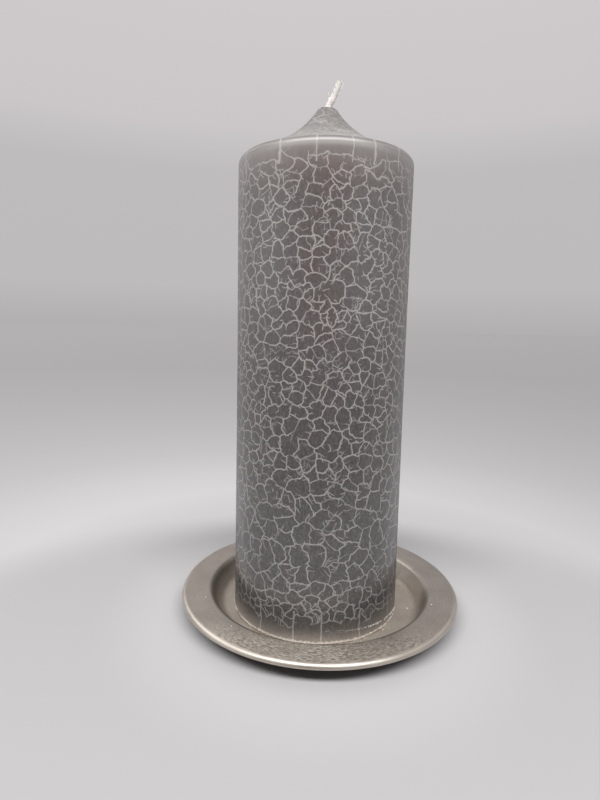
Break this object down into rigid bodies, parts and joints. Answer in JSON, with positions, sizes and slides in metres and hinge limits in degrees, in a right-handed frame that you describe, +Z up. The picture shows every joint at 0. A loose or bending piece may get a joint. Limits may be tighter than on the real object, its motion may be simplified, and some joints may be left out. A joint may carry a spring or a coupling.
{
  "type": "pillar candle holder",
  "caption": "Round pressed metal candle plate with a sunk drip well, holding a loose pillar candle with a crackled coat, a hollow-sided cone top and a leaning wick.",
  "frame": {"origin": "centre of the plate, on the surface that it stands on", "axes": "+Z up along the candle, +X to the right and +Y away from the viewer in the picture"},
  "size_m": [0.12, 0.12, 0.2194],
  "materials": {
    "plate_metal": "fine satin, warm grey, with a brighter turned edge",
    "coat_wax": "dark grey wax with a pale net of cracks under a smooth semi-gloss skin",
    "core_wax": "plain pale wax",
    "wick_cotton": "waxed white cotton braid"
  },
  "bodies": {
    "plate": {"plate": "plate_metal"},
    "candle": {"dipped_coat": "coat_wax", "wax_core": "core_wax", "wick": "wick_cotton"}
  },
  "joints": [
    {"name": "candle_lift", "type": "slide", "parent": "plate", "child": "candle", "axis": [0, 0, 1], "range_m": [0, 0.04]}
  ]
}
